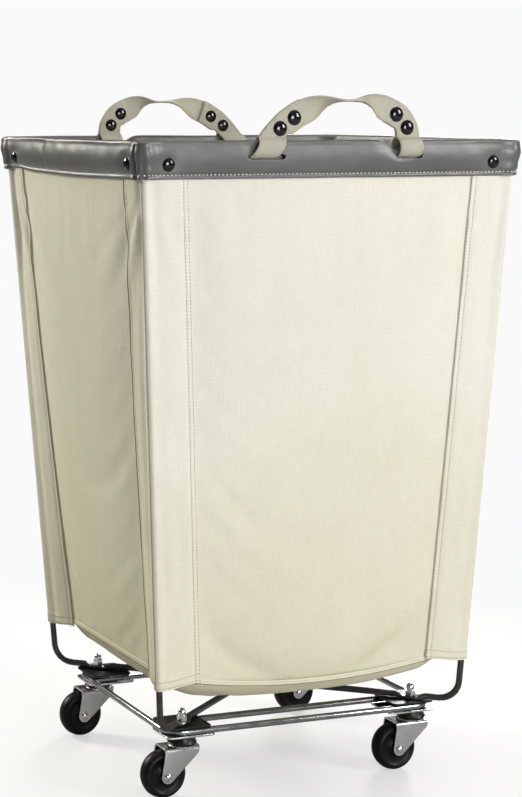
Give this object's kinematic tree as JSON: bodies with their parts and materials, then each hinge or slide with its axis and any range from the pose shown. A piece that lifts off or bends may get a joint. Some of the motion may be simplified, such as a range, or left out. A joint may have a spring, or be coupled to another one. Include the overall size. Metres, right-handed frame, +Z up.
{
  "type": "linen trolley",
  "caption": "Tapered canvas laundry bag on a crossed-rod steel frame with a vinyl rim, strap handles and swivel casters, for carrying linen.",
  "frame": {"origin": "on the floor, under the middle of the trolley", "axes": "+Z up; X along the longer side of the rim; the front face with its handle looks along -Y"},
  "size_m": [0.4636, 0.4042, 0.7546],
  "materials": {
    "canvas": "natural cotton duck, matt",
    "vinyl": "grey coated vinyl, satin",
    "rod_paint": "dark grey powder coat, satin",
    "bright_steel": "bright plated rod",
    "nut_chrome": "polished",
    "black_plate": "black, satin",
    "zinc": "zinc plated pressing",
    "wheel_rubber": "black, semi-matt",
    "rivet_black": "dark burnished dome"
  },
  "bodies": {
    "frame_and_bag": {"acorn_nut_bl": "nut_chrome", "acorn_nut_br": "nut_chrome", "acorn_nut_fl": "nut_chrome", "acorn_nut_fr": "nut_chrome", "back_panel": "canvas", "base_frame": "bright_steel", "bottom_panel": "canvas", "corner_sleeve_bl": "canvas", "corner_sleeve_br": "canvas", "corner_sleeve_fl": "canvas", "corner_sleeve_fr": "canvas", "cross_rod_a": "rod_paint", "cross_rod_b": "rod_paint", "front_panel": "canvas", "left_panel": "canvas", "low_plate_bl": "zinc", "low_plate_br": "zinc", "low_plate_fl": "zinc", "low_plate_fr": "zinc", "right_panel": "canvas", "rim_band": "vinyl", "rim_rivet_back_left": "rivet_black", "rim_rivet_back_right": "rivet_black", "rim_rivet_front_left": "rivet_black", "rim_rivet_front_right": "rivet_black", "rim_rivet_left_left": "rivet_black", "rim_rivet_left_right": "rivet_black", "rim_rivet_right_left": "rivet_black", "rim_rivet_right_right": "rivet_black", "swivel_stem_bl": "black_plate", "swivel_stem_br": "black_plate", "swivel_stem_fl": "black_plate", "swivel_stem_fr": "black_plate", "top_plate_bl": "black_plate", "top_plate_br": "black_plate", "top_plate_fl": "black_plate", "top_plate_fr": "black_plate"},
    "swivel_bl": {"axle_rivet_bl": "nut_chrome", "caster_fork_bl": "zinc"},
    "swivel_br": {"axle_rivet_br": "nut_chrome", "caster_fork_br": "zinc"},
    "swivel_fl": {"axle_rivet_fl": "nut_chrome", "caster_fork_fl": "zinc"},
    "swivel_fr": {"axle_rivet_fr": "nut_chrome", "caster_fork_fr": "zinc"},
    "handle_back": {"handle_rivet_back_1": "rivet_black", "handle_rivet_back_2": "rivet_black", "handle_rivet_back_3": "rivet_black", "handle_rivet_back_4": "rivet_black", "handle_strap_back": "canvas"},
    "handle_front": {"handle_rivet_front_1": "rivet_black", "handle_rivet_front_2": "rivet_black", "handle_rivet_front_3": "rivet_black", "handle_rivet_front_4": "rivet_black", "handle_strap_front": "canvas"},
    "wheel_bl": {"wheel_bl": "wheel_rubber"},
    "wheel_br": {"wheel_br": "wheel_rubber"},
    "wheel_fl": {"wheel_fl": "wheel_rubber"},
    "wheel_fr": {"wheel_fr": "wheel_rubber"}
  },
  "joints": [
    {"name": "swivel_turn_fl", "type": "hinge", "parent": "frame_and_bag", "child": "swivel_fl", "pos_m": [-0.1425, -0.1075, 0.056], "axis": [0, 0, 1], "continuous": true},
    {"name": "wheel_spin_fl", "type": "hinge", "parent": "swivel_fl", "child": "wheel_fl", "pos_m": [-0.1655, -0.1075, 0.0254], "axis": [0, 1, 0], "continuous": true},
    {"name": "swivel_turn_fr", "type": "hinge", "parent": "frame_and_bag", "child": "swivel_fr", "pos_m": [0.1425, -0.1075, 0.056], "axis": [0, 0, 1], "continuous": true},
    {"name": "wheel_spin_fr", "type": "hinge", "parent": "swivel_fr", "child": "wheel_fr", "pos_m": [0.1195, -0.1075, 0.0254], "axis": [0, 1, 0], "continuous": true},
    {"name": "swivel_turn_br", "type": "hinge", "parent": "frame_and_bag", "child": "swivel_br", "pos_m": [0.1425, 0.1075, 0.056], "axis": [0, 0, 1], "continuous": true},
    {"name": "wheel_spin_br", "type": "hinge", "parent": "swivel_br", "child": "wheel_br", "pos_m": [0.1195, 0.1075, 0.0254], "axis": [0, 1, 0], "continuous": true},
    {"name": "swivel_turn_bl", "type": "hinge", "parent": "frame_and_bag", "child": "swivel_bl", "pos_m": [-0.1425, 0.1075, 0.056], "axis": [0, 0, 1], "continuous": true},
    {"name": "wheel_spin_bl", "type": "hinge", "parent": "swivel_bl", "child": "wheel_bl", "pos_m": [-0.1655, 0.1075, 0.0254], "axis": [0, 1, 0], "continuous": true},
    {"name": "handle_fold_front", "type": "hinge", "parent": "frame_and_bag", "child": "handle_front", "pos_m": [0, -0.18663, 0.697], "axis": [1, 0, 0], "range_deg": [-105, 105]},
    {"name": "handle_fold_back", "type": "hinge", "parent": "frame_and_bag", "child": "handle_back", "pos_m": [0, 0.18663, 0.697], "axis": [-1, 0, 0], "range_deg": [-105, 105]}
  ]
}
